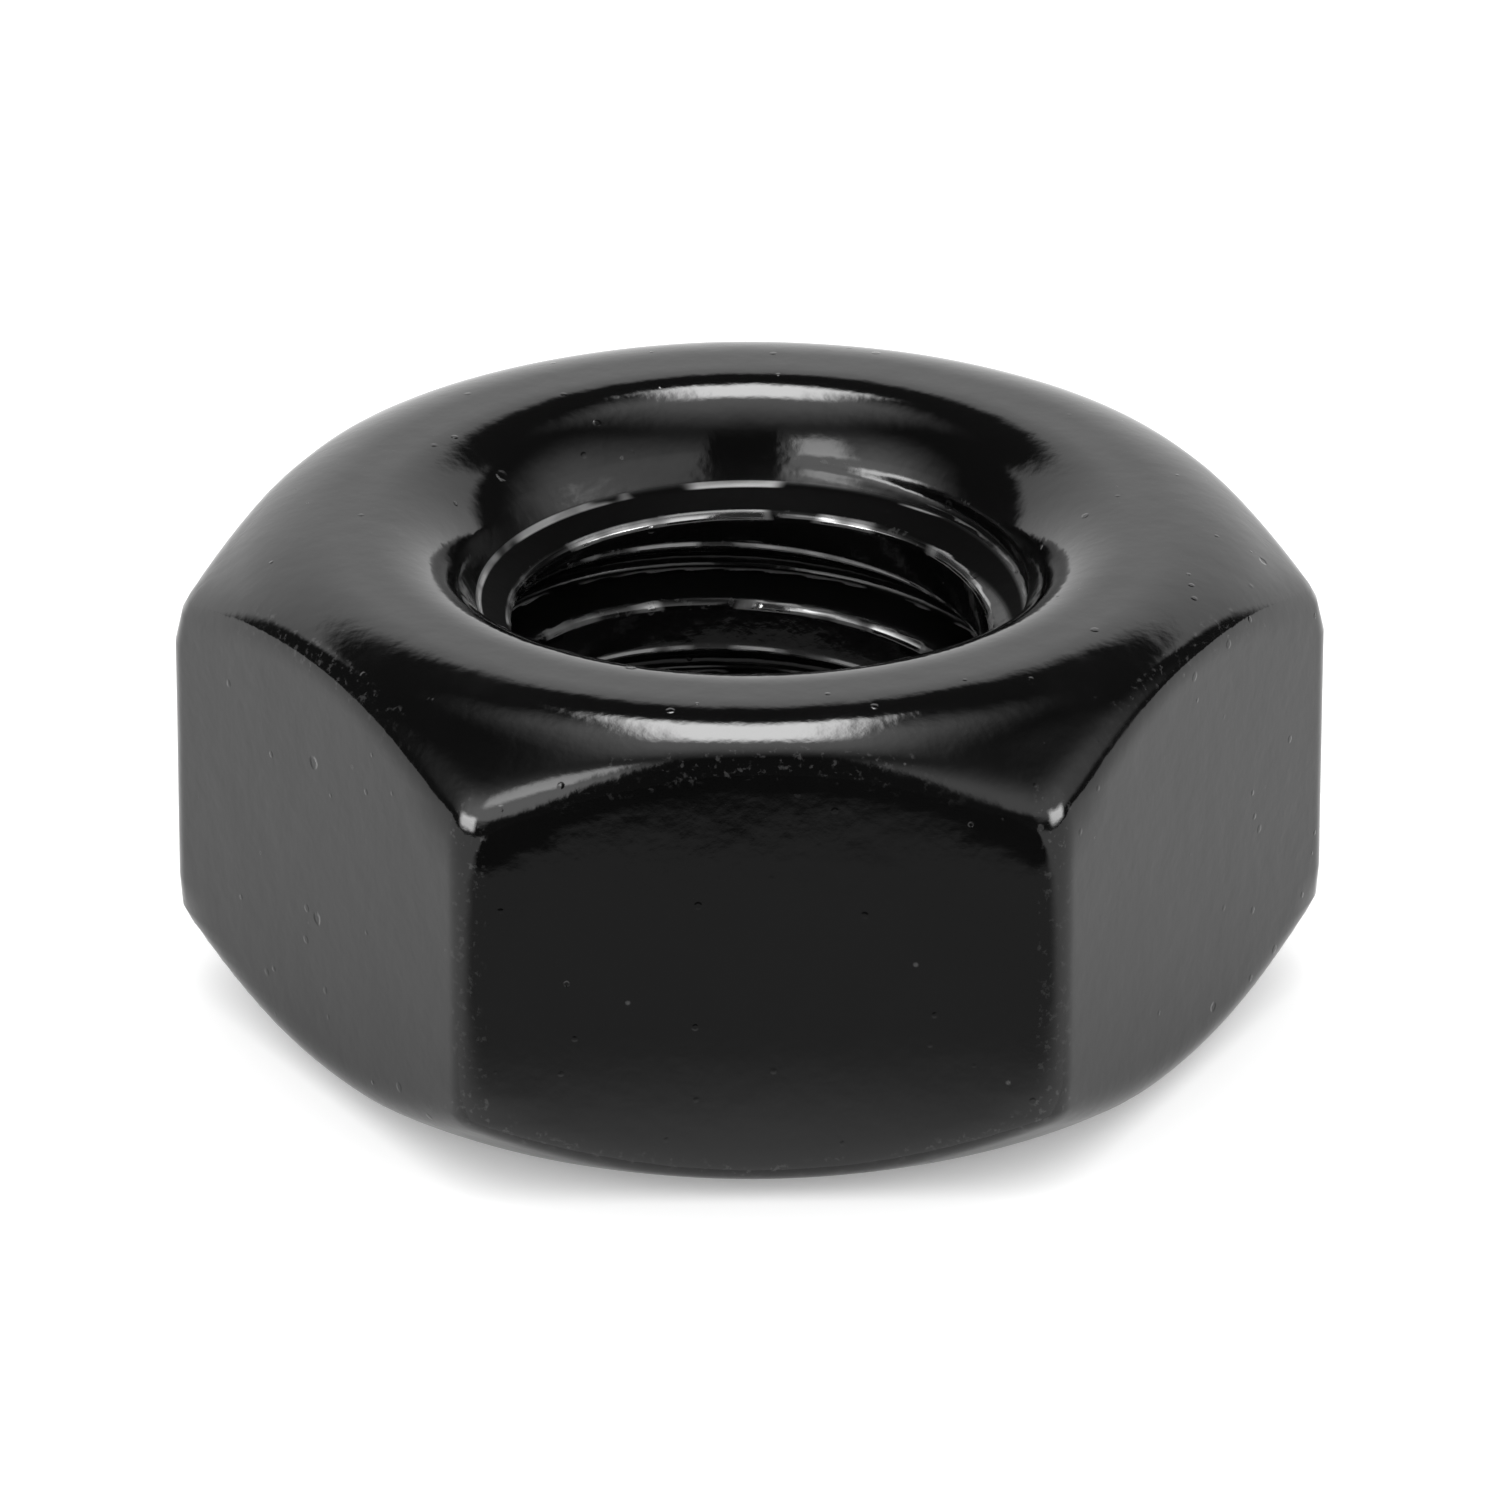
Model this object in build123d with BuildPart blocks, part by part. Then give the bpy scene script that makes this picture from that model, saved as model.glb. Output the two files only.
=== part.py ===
"""Hex nut, 1/4-20 UNC, double chamfered, with a right-hand thread.

One solid, in millimetres. The nut lies on its lower bearing face: the origin is the
centre of that face, +Z is the thread's axis, and one wrench flat faces -Y.
"""

from build123d import *

import os
from math import cos, radians, tan

# Body
across_flats = 11.11  # 7/16 in, between two opposite wrench flats
thickness = 5.56  # 7/32 in, between the two bearing faces
face_margin = 0.4  # from a wrench flat in to where a bearing face and its chamfer would meet
chamfer_angle = 38  # degrees, between a bearing face and its chamfer
face_rounding = 1.65  # eases a bearing face into its chamfer
flat_rounding = 0.5  # on every edge of the six wrench flats
corner_clearance = 0.2  # how far the turned envelope reaches past the six corners

# Thread, inside, 20 turns to the inch
thread_major_diameter = 6.35
thread_minor_diameter = 5.26
thread_pitch = 25.4 / 20
thread_angle = 60  # degrees, between the two flanks of the groove
root_flat = thread_pitch / 8  # width of the groove's floor
thread_clocking = 124  # degrees from +X, where the groove starts below the nut
lead_turns = 2  # turns of the groove cut in the air below the nut, and again above it
groove_overrun = 0.03  # how far the groove's cutter stands inside the minor diameter

# Countersink, the same at both bearing faces
mouth_margin = 0.305  # from the groove's floor out to the rim, if the rim were sharp
throat_margin = 0.175  # from the groove's floor in to the foot of the cone
sink_depth = 0.9  # from the bearing face to the foot of the cone
sink_rounding = 1.2  # on the rim
lead_in_angle = 120  # degrees, included, of the short cone from the foot to the thread

# What follows from those sizes
face_radius = across_flats / 2 - face_margin
envelope_radius = across_flats / 2 / cos(radians(30)) + corner_clearance
chamfer_drop = (envelope_radius - face_radius) * tan(radians(chamfer_angle))
major_radius = thread_major_diameter / 2
minor_radius = thread_minor_diameter / 2
cutter_radius = minor_radius - groove_overrun
cutter_half_width = root_flat / 2 + (major_radius - cutter_radius) * tan(radians(thread_angle / 2))
groove_start = -lead_turns * thread_pitch
groove_length = thickness + 2 * lead_turns * thread_pitch
mouth_radius = major_radius + mouth_margin
throat_radius = major_radius - throat_margin
overshoot_radius = 2 * mouth_radius - throat_radius  # the cone, one sink depth past the face
tip_depth = sink_depth + throat_radius / tan(radians(lead_in_angle / 2))


# The thread's groove, as the solid that its cutter sweeps
with BuildPart() as groove:
    with BuildLine() as winding:
        Helix(thread_pitch, groove_length, minor_radius, center=(0, 0, groove_start))
    with BuildSketch(Plane.XZ):
        with BuildLine():
            Polyline(
                (cutter_radius, groove_start - cutter_half_width),
                (major_radius, groove_start - root_flat / 2),
                (major_radius, groove_start + root_flat / 2),
                (cutter_radius, groove_start + cutter_half_width),
                close=True,
            )
        make_face()
    sweep(path=winding.line, is_frenet=True)


# The countersink at the lower face, as the solid of its pointed cutter
with BuildPart() as sink:
    with BuildSketch(Plane.XZ):
        with BuildLine():
            Polyline(
                (0, -sink_depth),
                (overshoot_radius, -sink_depth),
                (throat_radius, sink_depth),
                (0, tip_depth),
                close=True,
            )
        make_face()
    revolve(axis=Axis.Z)


with BuildPart() as hex_nut:
    # Hexagonal bar, with two of its corners on the X axis
    with BuildSketch(Plane.XY):
        RegularPolygon(across_flats / 2, 6, major_radius=False)
    extrude(amount=thickness)

    # Turned envelope: both bearing faces, each eased into its chamfer
    with BuildSketch(Plane.XZ) as envelope:
        with BuildLine():
            Polyline(
                (0, 0),
                (face_radius, 0),
                (envelope_radius, chamfer_drop),
                (envelope_radius, thickness - chamfer_drop),
                (face_radius, thickness),
                (0, thickness),
                close=True,
            )
        make_face()
        face_corners = envelope.vertices().filter_by(lambda v: abs(v.X - face_radius) < 0.001)
        fillet(face_corners, face_rounding)
    revolve(axis=Axis.Z, mode=Mode.INTERSECT)

    # Soft edges round every wrench flat
    flats = hex_nut.faces().filter_by(Axis.Z, reverse=True).filter_by(GeomType.PLANE)
    fillet(flats.edges(), flat_rounding)

    # Countersinks
    add(sink.part, mode=Mode.SUBTRACT)
    mirror(sink.part, about=Plane.XY.offset(thickness / 2), mode=Mode.SUBTRACT)
    rims = hex_nut.edges().filter_by(GeomType.CIRCLE)
    fillet(rims.filter_by(lambda rim: abs(rim.radius - mouth_radius) < 0.001), sink_rounding)

    # Thread: its groove, opened down to the crests by a plain hole
    add(groove.part, rotation=(0, 0, thread_clocking), mode=Mode.SUBTRACT)
    Hole(minor_radius)

hex_nut.part.label = "hex_nut"

os.makedirs("parts", exist_ok=True)
export_step(hex_nut.part, "parts/hex_nut.step")
print("hex_nut", len(hex_nut.solids()), "solid", round(hex_nut.part.volume, 2), "mm3")
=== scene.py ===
from math import atan2, cos, pi, radians, sin, tan

import bpy
import numpy as np
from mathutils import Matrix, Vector


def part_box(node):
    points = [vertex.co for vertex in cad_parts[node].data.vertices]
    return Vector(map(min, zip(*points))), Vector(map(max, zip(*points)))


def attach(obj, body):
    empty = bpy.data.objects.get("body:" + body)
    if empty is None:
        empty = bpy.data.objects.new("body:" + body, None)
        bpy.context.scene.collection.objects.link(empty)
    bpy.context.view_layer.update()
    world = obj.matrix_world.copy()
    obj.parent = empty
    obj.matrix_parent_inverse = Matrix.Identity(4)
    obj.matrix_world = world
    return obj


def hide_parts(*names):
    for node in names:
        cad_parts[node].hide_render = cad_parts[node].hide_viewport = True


# A 1/4-20 hex nut in glossy black coating, on a white floor. Lengths are in millimetres up to
# the mesh, which is in metres, in the frame of the CAD model: the nut lies on the floor with its
# thread upright, the origin is the centre of its lower face, and one wrench flat faces -Y.
MM = 0.001

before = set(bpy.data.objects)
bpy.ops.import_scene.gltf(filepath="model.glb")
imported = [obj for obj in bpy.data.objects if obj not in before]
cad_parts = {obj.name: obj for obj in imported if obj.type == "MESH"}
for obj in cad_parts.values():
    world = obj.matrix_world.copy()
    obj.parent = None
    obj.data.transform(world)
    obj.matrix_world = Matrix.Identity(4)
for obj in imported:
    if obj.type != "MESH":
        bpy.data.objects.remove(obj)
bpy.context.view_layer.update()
low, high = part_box("hex_nut")

# Body, from the CAD node's box
ACROSS_FLATS = (high.y - low.y) / MM
THICKNESS = (high.z - low.z) / MM
MIDDLE = THICKNESS / 2
FACE_MARGIN = 0.4  # from a flat in to where a bearing face and its chamfer would meet
FACE_RADIUS = ACROSS_FLATS / 2 - FACE_MARGIN
SECTOR = pi / 3  # from one wrench flat to the next
CHAMFER_ANGLE = radians(38)
FACE_ROUNDING = 1.65
UPPER_ROUNDING = 0.45  # between the upper chamfer and the middle of a flat
CORNER_EASING = 0.5  # what the upper rounding gains from the middle of a flat to its corners
LOWER_ROUNDING = 0.5
CORNER_ROUNDING = 0.5

# Waves in the coated surface
WAVE_HEIGHT = 0.005
WAVE_COUNT = 10
WAVE_SHARE = 0.1  # of the height, in one wave
SHORTEST_WAVE, LONGEST_WAVE = 1.2, 4.0
WAVE_SEED = 20

# Thread and countersinks
MINOR_RADIUS = 2.63
MAJOR_RADIUS = 3.1
PITCH = 1.27
ROOT_FLAT = PITCH / 8
FLANK_ANGLE = radians(30)
THREAD_CLOCKING = radians(124)
MOUTH_RADIUS = 3.48
THROAT_RADIUS = 3.0
SINK_DEPTH = 0.9
SINK_SLOPE = atan2(MOUTH_RADIUS - THROAT_RADIUS, SINK_DEPTH)
SINK_ROUNDING = 1.2
LEAD_IN_ANGLE = radians(60)  # half angle of the cone between a countersink and the thread
LEAD_IN_END = SINK_DEPTH + 0.22  # just deeper than where that cone meets the crests
EDGE_ROUNDING = 0.1  # what the coating leaves of the sharp edges in the bore

# Mesh
COLUMNS = 450
CROWDING = 0.8  # how far the columns draw towards the corners, 0 for evenly spaced
SEARCH_REACH = 3.0
SEARCH_STEPS = 26
SHARPNESS_STEP = 0.06

# Coating: its textures and spots, with how far their bumps rise or sink
PEEL_SIZE, PEEL_HEIGHT = 0.8, 0.005
MOTTLE_SIZE, MOTTLE_HEIGHT = 0.28, 0.0035
CUT_HEIGHT = 0.006  # what the mottle gains where the thread is cut
GRAIN_SIZE, GRAIN_HEIGHT = 0.09, 0.0009
HAZE_SIZE = 2.4
PITS, PIT_HEIGHT = {"spacing": 0.7, "radius": 0.07, "share": 0.22}, -0.008
BEADS, BEAD_HEIGHT = {"spacing": 0.36, "radius": 0.05, "share": 0.45}, 0.004
DUST = {"spacing": 0.5, "radius": 0.03, "share": 0.35}
SMALLEST_SPOT = 0.4  # as a share of the largest
SPOT_WARP = 0.8
SPOT_EDGE = 1.7, 1.0  # radii from a warped spot's centre where it ends and is full

# Coating: roughness, shine and tone, each with what a layer adds where it is full
COATING_IOR = 1.45
ROUGHNESS = 0.065
HAZE_ROUGHNESS, CUT_ROUGHNESS, LEAD_IN_ROUGHNESS, DUST_ROUGHNESS = 0.10, 0.1, 0.35, 0.3
SHINE, LEAD_IN_SHINE = 0.5, -0.47
TONE = 0.001
HAZE_TONE, WORN_TONE, DUST_TONE, BURNISHED_TONE = 0.0016, 0.025, 0.03, 0.4

# Coating: the parts of the bore that differ, as bands of radius that say where each starts, is
# full, starts to fall and ends, and for the lead-in a depth where it ends and is full
CUT_RADII = MINOR_RADIUS + 0.01, MINOR_RADIUS + 0.07, MAJOR_RADIUS - 0.05, MAJOR_RADIUS + 0.12
LEAD_IN_RADII = *CUT_RADII[:2], THROAT_RADIUS - 0.02, THROAT_RADIUS + 0.04
LEAD_IN_DEPTHS = LEAD_IN_END + 0.05, LEAD_IN_END
BURNISHED_RADII = MINOR_RADIUS - 0.02, MINOR_RADIUS, THROAT_RADIUS + 0.03, THROAT_RADIUS + 0.07

# Coating: where a noise, or the bend of the surface in 1/mm, starts to count and is full
HAZY = 0.52, 0.75
WORN_BEND, WORN_GRAIN = (1.4, 2.6), (0.56, 0.68)
BURNISHED_BEND, BURNISHED_PEEL = (3, 6), (0.44, 0.6)

# Studio
WHITE = 1, 1, 1, 1
SKY_WHITE = 1.45  # radiance of the sky, which lights the floor
ROOM_DARK = 0.05  # radiance of the dark room that the nut reflects instead
FLOOR_REACH = 3.0  # m
FLOOR_TONE = 0.9
FLOOR_GLOW = 0.25
FLOOR_REFLECTED = 1.1  # radiance of the floor in the nut, where nothing shades it

# Lights that only reflections show: radiance, then azimuths from +Y towards +X and elevations,
# both in degrees. A band of angles says where it starts, is full, starts to fall and ends.
BACKDROP = 1.1, (-56, -48, 48, 56), (-90, -89, 34, 41)
LEFT_WINDOW = 2.6, (-166, -162, -128, -80), (6, 16, 28, 68)
LEFT_LAMP = 12, (-142, -130, -114, -102), (1, 7, 13, 22)
HIGH_LAMP = 5, (-160, -153, -141, -129), (33, 40, 50, 58)
RIGHT_WINDOW = 1.4, (65, 105, 158, 164), (6, 14, 28, 66)
RIGHT_LAMP = 12, (98, 108, 122, 134), (1, 7, 13, 22)

# Overhead lights: radiance, a band of tilts in degrees from +Y up and over towards -Y, and the
# sideways part of a unit direction where they end and are full
SOFTBOX = 13, (55, 61, 73, 80), (0.18, 0.07)
CEILING = 2, (58, 75, 78, 125), (0.5, 0.1)

# Card in front of the nut that paints, in the nut's reflections, the floor ahead of it with the
# nut's shadow on it: in mm and radiance
CARD_GAP, CARD_LIFT = 0.1, 0.02
CARD_SIDE, CARD_FAR_SIDE, CARD_LENGTH = 12, 700, 2000
# painted shade: the card's glow stands for the floor as the nut reflects it, bright beside the
# nut and dark further on
CARD_DARK, CARD_MIDDLE, CARD_NEAR = 0.03, 0.32, 0.75  # far from the nut, and what it gains
MIDDLE_REACH, NEAR_REACH = (10.5, 8.5), (4.0, 0.5)  # ahead of the nut: ends, is full
CARD_EDGE = 9.0, 5.5  # aside, at the nut: ends, is full
CARD_SPREAD = 0.3  # what its edges move aside for each mm ahead

# Camera, round the middle of the nut
AZIMUTH, ELEVATION = radians(-1.3), radians(25.4)  # azimuth from -Y towards +X
DISTANCE = 13.5 * ACROSS_FLATS * MM
LENS = 100
FIELD = 0.1107  # width of the sensor over the lens
CLIP_START = 0.01


def edge(a, b, radius, cosine):
    """Where two surfaces bound a solid, its distance with their edge rounded. a and b are the
    distances outside each surface, and cosine is that of the angle between their normals."""
    u = a + radius
    v = b + radius
    on_edge = (u > v * cosine) & (v > u * cosine)
    from_axis = np.sqrt(np.maximum(u * u + v * v - 2 * u * v * cosine, 0) / (1 - cosine**2))
    return np.where(on_edge, from_axis - radius, np.maximum(a, b))


def off_flat(theta):
    """Angle from the middle of the nearest wrench flat, 30 degrees at a corner."""
    return np.abs((theta + pi / 2 + SECTOR / 2) % SECTOR - SECTOR / 2)


def hexagon(theta, r):
    """Distance outside the six wrench flats."""
    from_flat = off_flat(theta)
    nearest = r * np.cos(from_flat) - ACROSS_FLATS / 2
    second = r * np.cos(SECTOR - from_flat) - ACROSS_FLATS / 2
    return edge(nearest, second, CORNER_ROUNDING, cos(SECTOR))


def turned_faces(r, z):
    """Distance outside the bearing faces and their chamfers."""
    from_face = np.abs(z - MIDDLE) - MIDDLE
    from_chamfer = (r - FACE_RADIUS) * sin(CHAMFER_ANGLE) + from_face * cos(CHAMFER_ANGLE)
    return edge(from_face, from_chamfer, FACE_ROUNDING, cos(CHAMFER_ANGLE))


def countersink(r, z):
    """Distance into the metal beside either countersink and its lead-in."""
    depth = MIDDLE - np.abs(z - MIDDLE)
    wall = (r - MOUTH_RADIUS) * cos(SINK_SLOPE) + depth * sin(SINK_SLOPE)
    past_foot = (depth - SINK_DEPTH) * sin(LEAD_IN_ANGLE)
    lead_in = (r - THROAT_RADIUS) * cos(LEAD_IN_ANGLE) + past_foot
    return edge(wall, lead_in, EDGE_ROUNDING, cos(LEAD_IN_ANGLE - SINK_SLOPE))


def thread_groove(theta, r, z):
    """Distance into the metal beside the helical groove."""
    turn = PITCH * (theta - THREAD_CLOCKING) / (2 * pi)
    along = np.abs((z - turn + PITCH / 2) % PITCH - PITCH / 2)
    half_width = ROOT_FLAT / 2 + (MAJOR_RADIUS - r) * tan(FLANK_ANGLE)
    flank = (along - half_width) * cos(FLANK_ANGLE)
    return edge(flank, r - MAJOR_RADIUS, EDGE_ROUNDING, sin(FLANK_ANGLE))


def waves(theta, r, z):
    """Gentle waves that forging and coating left, from 0 up to twice their height."""
    x, y = r * np.cos(theta), r * np.sin(theta)
    height = 1 + 0 * x
    generator = np.random.default_rng(WAVE_SEED)
    for _ in range(WAVE_COUNT):
        heading = generator.normal(size=3)
        length = generator.uniform(SHORTEST_WAVE, LONGEST_WAVE)
        heading *= 2 * pi / length / np.linalg.norm(heading)
        start = generator.uniform(0, 2 * pi)
        height += WAVE_SHARE * np.sin(heading[0] * x + heading[1] * y + heading[2] * z + start)
    return WAVE_HEIGHT * height


def nut(theta, r, z):
    """Below 0 in the metal, 0 on its surface and above 0 in the air."""
    turned = turned_faces(r, z) + waves(theta, r, z)
    easing = CORNER_EASING * (off_flat(theta) / (SECTOR / 2)) ** 2
    rounding = np.where(z > MIDDLE, UPPER_ROUNDING + easing, LOWER_ROUNDING)
    side = hexagon(theta, r) + waves(theta, r, z)
    outside = edge(side, turned, rounding, sin(CHAMFER_ANGLE))
    groove = thread_groove(theta, r, z)
    thread = edge(MINOR_RADIUS - r, -groove, EDGE_ROUNDING, sin(FLANK_ANGLE))
    bore = edge(thread, -countersink(r, z), EDGE_ROUNDING, cos(LEAD_IN_ANGLE))
    return edge(outside, bore, SINK_ROUNDING, sin(SINK_SLOPE))


def section_rays():
    """Starts and directions, in a half plane through the axis, of the rays that find the
    surface: in towards the bore, round a rim, down a face, round a chamfer, out to the side."""
    core, shoulder = 4.45, 4.7  # radii
    shelf, waist = 0.55, 1.0  # heights
    bore_rows, rim_rows, face_rows, chamfer_rows, side_rows = 75, 12, 4, 18, 6
    lower = [(core, z, -1, 0) for z in np.linspace(MIDDLE, shelf, bore_rows)]
    for turn in np.linspace(0, pi / 2, rim_rows)[1:]:
        lower.append((core, shelf, -cos(turn), -sin(turn)))
    for r in np.linspace(core, shoulder, face_rows)[1:]:
        lower.append((r, shelf, 0, -1))
    for turn in np.linspace(0, pi / 2, chamfer_rows)[1:]:
        lower.append((shoulder, waist, sin(turn), -cos(turn)))
    for z in np.linspace(waist, MIDDLE, side_rows)[1:]:
        lower.append((shoulder, z, 1, 0))
    upper = [(r, THICKNESS - z, dr, -dz) for r, z, dr, dz in reversed(lower[1:-1])]
    return np.array(lower + upper)


def find_surface(theta, rays):
    """Angle, radius and height where each ray leaves the metal, at each theta."""
    angle = theta[:, None]
    start_r, start_z, along_r, along_z = rays.T[:, None, :]
    inside = np.zeros((len(theta), len(rays)))
    outside = np.full_like(inside, SEARCH_REACH)
    for _ in range(SEARCH_STEPS):
        middle = (inside + outside) / 2
        in_metal = nut(angle, start_r + middle * along_r, start_z + middle * along_z) < 0
        inside = np.where(in_metal, middle, inside)
        outside = np.where(in_metal, outside, middle)
    return angle + 0 * inside, start_r + inside * along_r, start_z + inside * along_z


def sharpness(angle, r, z):
    """How sharply the surface bends, in 1/mm: the two curvatures' sum, above 0 outwards."""
    step = SHARPNESS_STEP
    x, y = r * np.cos(angle), r * np.sin(angle)
    around = 0
    for dx, dy, dz in ((step, 0, 0), (0, step, 0), (0, 0, step)):
        for way in (-1, 1):
            px, py = x + way * dx, y + way * dy
            around = around + nut(np.arctan2(py, px), np.hypot(px, py), z + way * dz)
    return (around - 6 * nut(angle, r, z)) / step**2


def nut_mesh():
    """The nut as a closed grid of quads: a ring of sections, which are rings themselves."""
    even = np.arange(COLUMNS) * 2 * pi / COLUMNS
    theta = even - CROWDING / 6 * np.sin(6 * even)
    rays = section_rays()
    rows = len(rays)
    angle, r, z = find_surface(theta, rays)
    points = np.stack([r * np.cos(angle), r * np.sin(angle), z], -1).reshape(-1, 3) * MM
    i, j = np.meshgrid(np.arange(COLUMNS), np.arange(rows), indexing="ij")
    here = i * rows + j
    beside = (i + 1) % COLUMNS * rows + j
    above = i * rows + (j + 1) % rows
    across = (i + 1) % COLUMNS * rows + (j + 1) % rows
    faces = np.stack([here, beside, across, above], -1).reshape(-1, 4)
    mesh = bpy.data.meshes.new("hex_nut_coated")
    mesh.from_pydata(points.tolist(), [], faces.tolist())
    wear = mesh.attributes.new("sharpness", "FLOAT", "POINT")
    wear.data.foreach_set("value", sharpness(angle, r, z).ravel())
    mesh.shade_smooth()
    mesh.validate()
    return mesh


def add_object(name, data):
    made = bpy.data.objects.new(name, data)
    bpy.context.scene.collection.objects.link(made)
    return made


def math_node(tree, operation, *values):
    node = tree.nodes.new("ShaderNodeMath")
    node.operation = operation
    for socket, value in zip(node.inputs, values):
        if isinstance(value, (int, float)):
            socket.default_value = value
        else:
            tree.links.new(value, socket)
    return node.outputs[0]


def multiply(tree, value, *others):
    for other in others:
        value = math_node(tree, "MULTIPLY", value, other)
    return value


def add_share(tree, total, value, share):
    """total, with a share of value added."""
    return math_node(tree, "MULTIPLY_ADD", value, share, total)


def fade(tree, value, start, end):
    """0 up to start, then smoothly up to 1 at end. With start past end it falls instead."""
    node = tree.nodes.new("ShaderNodeMapRange")
    node.interpolation_type = "SMOOTHSTEP"
    node.clamp = True
    rising = start < end
    node.inputs["From Min"].default_value = min(start, end)
    node.inputs["From Max"].default_value = max(start, end)
    node.inputs["To Min"].default_value = 0 if rising else 1
    node.inputs["To Max"].default_value = 1 if rising else 0
    tree.links.new(value, node.inputs["Value"])
    return node.outputs["Result"]


def between(tree, value, start, full, falling, end):
    """1 between full and falling, fading to 0 at start and at end."""
    return multiply(tree, fade(tree, value, start, full), fade(tree, value, end, falling))


def band(tree, angle, steps):
    """between, for an angle and its four steps in degrees."""
    return between(tree, angle, *(radians(step) for step in steps))


def split_place(tree, place):
    """X, Y and Z of a place."""
    split = tree.nodes.new("ShaderNodeSeparateXYZ")
    tree.links.new(place, split.inputs[0])
    return split.outputs


def texture(tree, kind, place, size, **values):
    """Outputs of a texture whose features are about size mm across."""
    node = tree.nodes.new(kind)
    node.inputs["Scale"].default_value = 1 / (size * MM)
    for name, value in values.items():
        node.inputs[name].default_value = value
    tree.links.new(place, node.inputs["Vector"])
    return node.outputs


def noise(tree, place, size, **values):
    return texture(tree, "ShaderNodeTexNoise", place, size, **values)["Fac"]


def dots(tree, place, warp, spacing, radius, share):
    """Spots scattered on a share of the cells of a random grid, 1 inside and 0 outside. The
    spacing and the largest radius are in mm, and warp is a noise that makes them uneven."""
    cells = texture(tree, "ShaderNodeTexVoronoi", place, spacing)
    colour = tree.nodes.new("ShaderNodeSeparateColor")
    tree.links.new(cells["Color"], colour.inputs[0])
    chosen = math_node(tree, "LESS_THAN", colour.outputs[0], share)
    largest = radius / spacing
    smallest = SMALLEST_SPOT * largest
    size = add_share(tree, smallest, colour.outputs[1], largest - smallest)
    reach = math_node(tree, "DIVIDE", cells["Distance"], size)
    uneven = add_share(tree, reach, warp, SPOT_WARP)
    return multiply(tree, fade(tree, uneven, *SPOT_EDGE), chosen)


def black_coating():
    """Glossy black coating: orange peel, mottle and fine grain, with pits, beads and dust, and
    haze that comes and goes. It is rougher where the thread is cut, dull on the lead-ins, worn
    in specks on its outer edges, and burnished here and there on the edges in the bore."""
    material = bpy.data.materials.new("black_coated_steel")
    material.use_nodes = True
    tree = material.node_tree
    shader = tree.nodes["Principled BSDF"]
    shader.inputs["IOR"].default_value = COATING_IOR
    place = tree.nodes.new("ShaderNodeTexCoord").outputs["Object"]

    peel = noise(tree, place, PEEL_SIZE, Detail=1.5)
    mottle = noise(tree, place, MOTTLE_SIZE, Detail=2)
    grain = noise(tree, place, GRAIN_SIZE, Detail=3, Roughness=0.6)
    haze = noise(tree, place, HAZE_SIZE, Detail=4, Roughness=0.65)
    pits = dots(tree, place, grain, **PITS)
    beads = dots(tree, place, grain, **BEADS)
    dust = dots(tree, place, grain, **DUST)

    x, y, z = split_place(tree, place)
    square = math_node(tree, "MULTIPLY_ADD", x, x, multiply(tree, y, y))
    radius = multiply(tree, math_node(tree, "SQRT", square), 1 / MM)
    off_middle = math_node(tree, "ABSOLUTE", add_share(tree, -MIDDLE, z, 1 / MM))
    depth = math_node(tree, "SUBTRACT", MIDDLE, off_middle)
    cut = between(tree, radius, *CUT_RADII)
    lead_in = between(tree, radius, *LEAD_IN_RADII)
    lead_in = multiply(tree, lead_in, fade(tree, depth, *LEAD_IN_DEPTHS))

    attribute = tree.nodes.new("ShaderNodeAttribute")
    attribute.attribute_name = "sharpness"
    bend = attribute.outputs["Fac"]
    either_way = math_node(tree, "ABSOLUTE", bend)
    worn = multiply(tree, fade(tree, bend, *WORN_BEND), fade(tree, grain, *WORN_GRAIN))
    burnished = between(tree, radius, *BURNISHED_RADII)
    burnished = multiply(tree, burnished, fade(tree, either_way, *BURNISHED_BEND))
    burnished = multiply(tree, burnished, fade(tree, peel, *BURNISHED_PEEL))
    tree.links.new(burnished, shader.inputs["Metallic"])
    shine = add_share(tree, SHINE, lead_in, LEAD_IN_SHINE)
    tree.links.new(shine, shader.inputs["Specular IOR Level"])

    roughness = add_share(tree, ROUGHNESS, fade(tree, haze, *HAZY), HAZE_ROUGHNESS)
    roughness = add_share(tree, roughness, cut, CUT_ROUGHNESS)
    roughness = add_share(tree, roughness, lead_in, LEAD_IN_ROUGHNESS)
    roughness = add_share(tree, roughness, dust, DUST_ROUGHNESS)
    tree.links.new(roughness, shader.inputs["Roughness"])

    tone = add_share(tree, TONE, haze, HAZE_TONE)
    tone = add_share(tree, tone, worn, WORN_TONE)
    tone = add_share(tree, tone, dust, DUST_TONE)
    tone = add_share(tree, tone, burnished, BURNISHED_TONE)
    tree.links.new(tone, shader.inputs["Base Color"])

    height = multiply(tree, peel, PEEL_HEIGHT)
    height = add_share(tree, height, mottle, MOTTLE_HEIGHT)
    height = add_share(tree, height, grain, GRAIN_HEIGHT)
    height = add_share(tree, height, multiply(tree, cut, mottle), CUT_HEIGHT)
    height = add_share(tree, height, beads, BEAD_HEIGHT)
    height = add_share(tree, height, pits, PIT_HEIGHT)
    bump = tree.nodes.new("ShaderNodeBump")
    bump.inputs["Strength"].default_value = 1.0
    bump.inputs["Distance"].default_value = MM
    tree.links.new(height, bump.inputs["Height"])
    tree.links.new(bump.outputs["Normal"], shader.inputs["Normal"])
    return material


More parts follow.
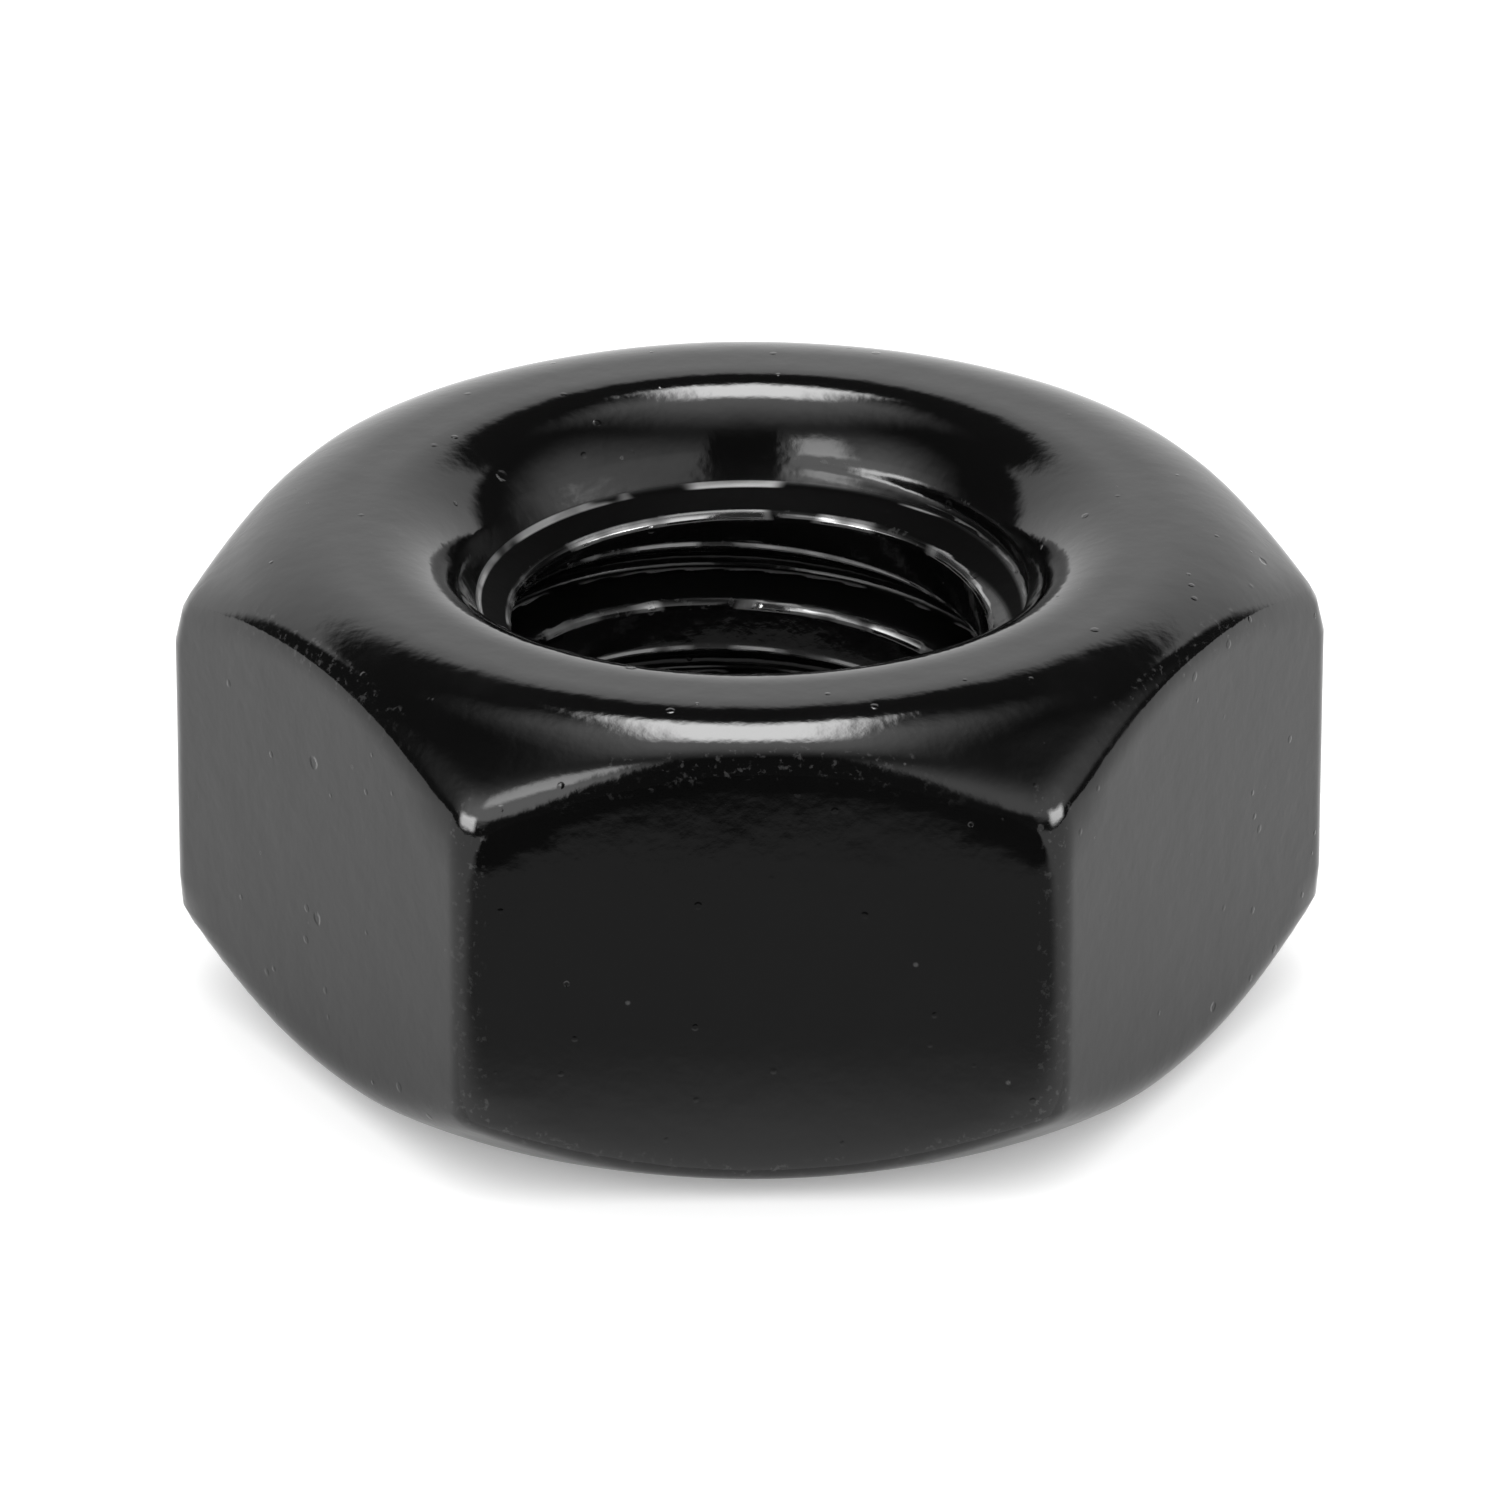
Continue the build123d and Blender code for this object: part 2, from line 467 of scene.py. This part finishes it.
def studio_world():
    """White all round for the floor and for what the camera sees past it. The nut reflects a
    dark room instead, with a white backdrop behind it, a softbox and a dimmer ceiling
    overhead, and a window at either side of the camera with lamps in it."""
    world = bpy.data.worlds.new("studio")
    bpy.context.scene.world = world
    world.use_nodes = True
    tree = world.node_tree
    x, y, z = split_place(tree, tree.nodes.new("ShaderNodeTexCoord").outputs["Generated"])
    azimuth = math_node(tree, "ARCTAN2", x, y)
    elevation = math_node(tree, "ARCSINE", z)
    tilt = math_node(tree, "ARCTAN2", z, y)
    aside = math_node(tree, "ABSOLUTE", x)
    reflected = ROOM_DARK
    for light in (BACKDROP, LEFT_WINDOW, LEFT_LAMP, HIGH_LAMP, RIGHT_WINDOW, RIGHT_LAMP):
        radiance, sides, heights = light
        shape = multiply(tree, band(tree, azimuth, sides), band(tree, elevation, heights))
        reflected = add_share(tree, reflected, shape, radiance)
    for radiance, tilts, reach in (SOFTBOX, CEILING):
        shape = multiply(tree, band(tree, tilt, tilts), fade(tree, aside, *reach))
        reflected = add_share(tree, reflected, shape, radiance)
    glossy = tree.nodes.new("ShaderNodeLightPath").outputs["Is Glossy Ray"]
    change = math_node(tree, "SUBTRACT", reflected, SKY_WHITE)
    background = tree.nodes["Background"]
    background.inputs["Color"].default_value = WHITE
    tree.links.new(add_share(tree, SKY_WHITE, change, glossy), background.inputs["Strength"])
    world.cycles.sampling_method = "NONE"


def floor():
    """A white floor, which the nut reflects at a brightness of its own."""
    reach = FLOOR_REACH
    mesh = bpy.data.meshes.new("floor")
    corners = [(-reach, -reach, 0), (reach, -reach, 0), (reach, reach, 0), (-reach, reach, 0)]
    mesh.from_pydata(corners, [], [(0, 1, 2, 3)])
    white = bpy.data.materials.new("white_floor")
    white.use_nodes = True
    tree = white.node_tree
    shader = tree.nodes["Principled BSDF"]
    shader.inputs["Emission Color"].default_value = WHITE
    shader.inputs["Emission Strength"].default_value = FLOOR_GLOW
    shader.inputs["Roughness"].default_value = 1
    shader.inputs["Specular IOR Level"].default_value = 0
    glossy = tree.nodes.new("ShaderNodeLightPath").outputs["Is Glossy Ray"]
    reflected_tone = (FLOOR_REFLECTED - FLOOR_GLOW) / SKY_WHITE
    tone = add_share(tree, FLOOR_TONE, glossy, reflected_tone - FLOOR_TONE)
    tree.links.new(tone, shader.inputs["Base Color"])
    mesh.materials.append(white)
    add_object("floor", mesh)


def painted_shade_card():
    """Painted shade: a glowing card on the floor in front of the nut, which only reflections
    show, for the floor there with the nut's shadow on it: bright beside the nut, dark further
    on, wider with distance and fading out at its sides."""
    start = ACROSS_FLATS / 2 + CARD_GAP
    near = [(-CARD_SIDE, -start), (CARD_SIDE, -start)]
    far = [(CARD_FAR_SIDE, -CARD_LENGTH), (-CARD_FAR_SIDE, -CARD_LENGTH)]
    mesh = bpy.data.meshes.new("painted_shade_card")
    corners = [(x * MM, y * MM, CARD_LIFT * MM) for x, y in near + far]
    mesh.from_pydata(corners, [], [(0, 1, 2, 3)])
    card = bpy.data.materials.new("painted_shade_card")
    card.use_nodes = True
    tree = card.node_tree
    tree.nodes.remove(tree.nodes["Principled BSDF"])
    x, y, _ = split_place(tree, tree.nodes.new("ShaderNodeTexCoord").outputs["Object"])
    ahead = add_share(tree, -ACROSS_FLATS / 2, y, -1 / MM)
    aside = multiply(tree, math_node(tree, "ABSOLUTE", x), 1 / MM)
    aside = add_share(tree, aside, ahead, -CARD_SPREAD)
    # painted shade: the glow falls from bright beside the nut to dark further ahead, for the
    # nut's shadow on the floor
    tone = add_share(tree, CARD_DARK, fade(tree, ahead, *MIDDLE_REACH), CARD_MIDDLE)
    tone = add_share(tree, tone, fade(tree, ahead, *NEAR_REACH), CARD_NEAR)
    emission = tree.nodes.new("ShaderNodeEmission")
    tree.links.new(tone, emission.inputs["Strength"])
    clear = tree.nodes.new("ShaderNodeBsdfTransparent")
    mix = tree.nodes.new("ShaderNodeMixShader")
    tree.links.new(fade(tree, aside, *CARD_EDGE), mix.inputs["Fac"])
    tree.links.new(clear.outputs[0], mix.inputs[1])
    tree.links.new(emission.outputs[0], mix.inputs[2])
    tree.links.new(mix.outputs[0], tree.nodes["Material Output"].inputs["Surface"])
    mesh.materials.append(card)
    made = add_object("painted_shade_card", mesh)
    made.visible_camera = False
    made.visible_diffuse = False
    made.visible_shadow = False


def camera():
    data = bpy.data.cameras.new("camera")
    data.lens = LENS
    data.sensor_width = LENS * FIELD
    data.clip_start = CLIP_START
    made = add_object("camera", data)
    level = cos(ELEVATION)
    back = Vector((sin(AZIMUTH) * level, -cos(AZIMUTH) * level, sin(ELEVATION)))
    made.location = Vector((0, 0, MIDDLE * MM)) + back * DISTANCE
    made.rotation_mode = "QUATERNION"
    made.rotation_quaternion = (-back).to_track_quat("-Z", "Y")
    bpy.context.scene.camera = made


piece = add_object("hex_nut_coated", nut_mesh())
piece.data.materials.append(black_coating())
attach(piece, "root")
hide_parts("hex_nut")
studio_world()
floor()
# painted shade: the nut's shadow on the floor ahead of it, as the nut's reflections show it
painted_shade_card()
camera()
bpy.context.scene.view_settings.view_transform = "Standard"
